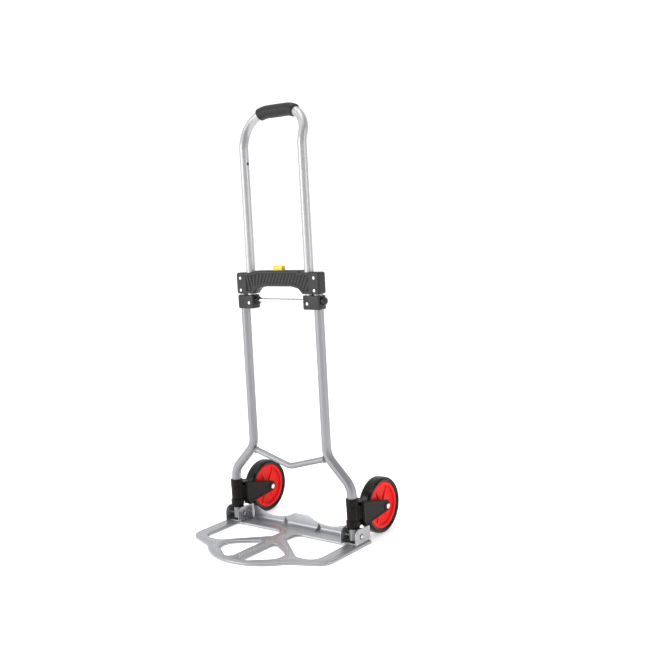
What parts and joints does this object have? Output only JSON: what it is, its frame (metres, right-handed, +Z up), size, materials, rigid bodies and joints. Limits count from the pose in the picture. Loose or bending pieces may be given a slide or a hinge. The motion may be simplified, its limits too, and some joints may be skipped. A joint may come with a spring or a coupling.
{
  "type": "folding hand truck",
  "caption": "Folding hand truck with a telescopic bow handle, a latch button in a ribbed crossbar, a hinged pressed toe plate and rubber-tyred wheels that swing in as the plate folds.",
  "frame": {"origin": "on the floor under the middle of the hinge line, in the plane of the tubes", "axes": "+X to the right seen from the front, +Y to the back where the wheels are, +Z up"},
  "size_m": [0.4716, 0.4523, 1.165],
  "materials": {
    "tube_metal": "bright drawn tube",
    "plate_metal": "pressed sheet, satin",
    "zinc_steel": "zinc plated sheet",
    "bright_steel": "polished",
    "spring_steel": "drawn wire",
    "black_plastic": "moulded, fine texture",
    "black_gloss": "moulded, smooth",
    "yellow_plastic": "moulded, smooth",
    "red_plastic": "moulded, smooth",
    "bush_plastic": "acetal",
    "tyre_rubber": "solid rubber",
    "grip_foam": "foam"
  },
  "bodies": {
    "frame": {"frame_tube_left": "tube_metal", "frame_tube_right": "tube_metal", "frame_brace": "tube_metal", "crossbar_front_shell": "black_plastic", "crossbar_rear_shell": "black_plastic", "crossbar_rivets": "bright_steel", "guide_bushes": "bush_plastic", "button_spring": "spring_steel", "pin_spring_left": "spring_steel", "pin_spring_right": "spring_steel", "upper_collar_left": "black_plastic", "upper_collar_right": "black_plastic", "lower_collar_left": "black_plastic", "lower_collar_right": "black_plastic"},
    "handle": {"handle_tube": "tube_metal", "handle_grip": "grip_foam", "slide_block_left": "black_gloss", "slide_block_right": "black_gloss", "block_rivets": "bright_steel", "hook_rod": "bright_steel", "rod_boss": "black_gloss", "side_knob": "black_gloss"},
    "button": {"release_button": "yellow_plastic"},
    "lock_pin_left": {"lock_pin_left": "bright_steel"},
    "lock_pin_right": {"lock_pin_right": "bright_steel"},
    "toe_plate": {"toe_plate": "plate_metal", "clevis_left": "zinc_steel", "clevis_right": "zinc_steel", "clevis_rivets": "bright_steel", "hinge_pin_left": "bright_steel", "hinge_pin_right": "bright_steel"},
    "fork_left": {"wheel_fork_left": "black_plastic", "fold_cam_left": "black_plastic", "fold_spring_left": "spring_steel", "axle_left": "bright_steel", "axle_washers_left": "bright_steel"},
    "wheel_left": {"tyre_left": "tyre_rubber", "rim_left": "red_plastic", "hub_bush_left": "bush_plastic"},
    "fork_right": {"wheel_fork_right": "black_plastic", "fold_cam_right": "black_plastic", "fold_spring_right": "spring_steel", "axle_right": "bright_steel", "axle_washers_right": "bright_steel"},
    "wheel_right": {"tyre_right": "tyre_rubber", "rim_right": "red_plastic", "hub_bush_right": "bush_plastic"}
  },
  "joints": [
    {"name": "handle_slide", "type": "slide", "parent": "frame", "child": "handle", "axis": [0, 0, 1], "range_m": [-0.316, 0]},
    {"name": "button_press", "type": "slide", "parent": "frame", "child": "button", "axis": [0, 0, -1], "range_m": [0, 0.006], "stiffness_N_per_m": 600, "springref_m": -0.004, "deforming": ["button_spring"]},
    {"name": "lock_pin_left_slide", "type": "slide", "parent": "frame", "child": "lock_pin_left", "axis": [1, 0, 0], "range_m": [0, 0.006], "deforming": ["pin_spring_left"]},
    {"name": "lock_pin_right_slide", "type": "slide", "parent": "frame", "child": "lock_pin_right", "axis": [-1, 0, 0], "range_m": [0, 0.006], "deforming": ["pin_spring_right"]},
    {"name": "plate_fold", "type": "hinge", "parent": "frame", "child": "toe_plate", "pos_m": [0, 0, 0.027], "axis": [-1, 0, 0], "range_deg": [0, 90]},
    {"name": "fork_left_swing", "type": "hinge", "parent": "frame", "child": "fork_left", "pos_m": [-0.204, 0, 0.086], "axis": [0, 0, -1], "range_deg": [0, 90]},
    {"name": "fork_right_swing", "type": "hinge", "parent": "frame", "child": "fork_right", "pos_m": [0.204, 0, 0.086], "axis": [0, 0, 1], "range_deg": [0, 90]},
    {"name": "wheel_left_spin", "type": "hinge", "parent": "fork_left", "child": "wheel_left", "pos_m": [-0.204, 0.12, 0.076], "axis": [1, 0, 0], "continuous": true},
    {"name": "wheel_right_spin", "type": "hinge", "parent": "fork_right", "child": "wheel_right", "pos_m": [0.204, 0.12, 0.076], "axis": [1, 0, 0], "continuous": true}
  ],
  "couplings": [
    {"joint": "lock_pin_left_slide", "follows": "button_press", "ratio": 1},
    {"joint": "lock_pin_right_slide", "follows": "button_press", "ratio": 1},
    {"joint": "fork_left_swing", "follows": "plate_fold", "ratio": 1},
    {"joint": "fork_right_swing", "follows": "plate_fold", "ratio": 1}
  ]
}
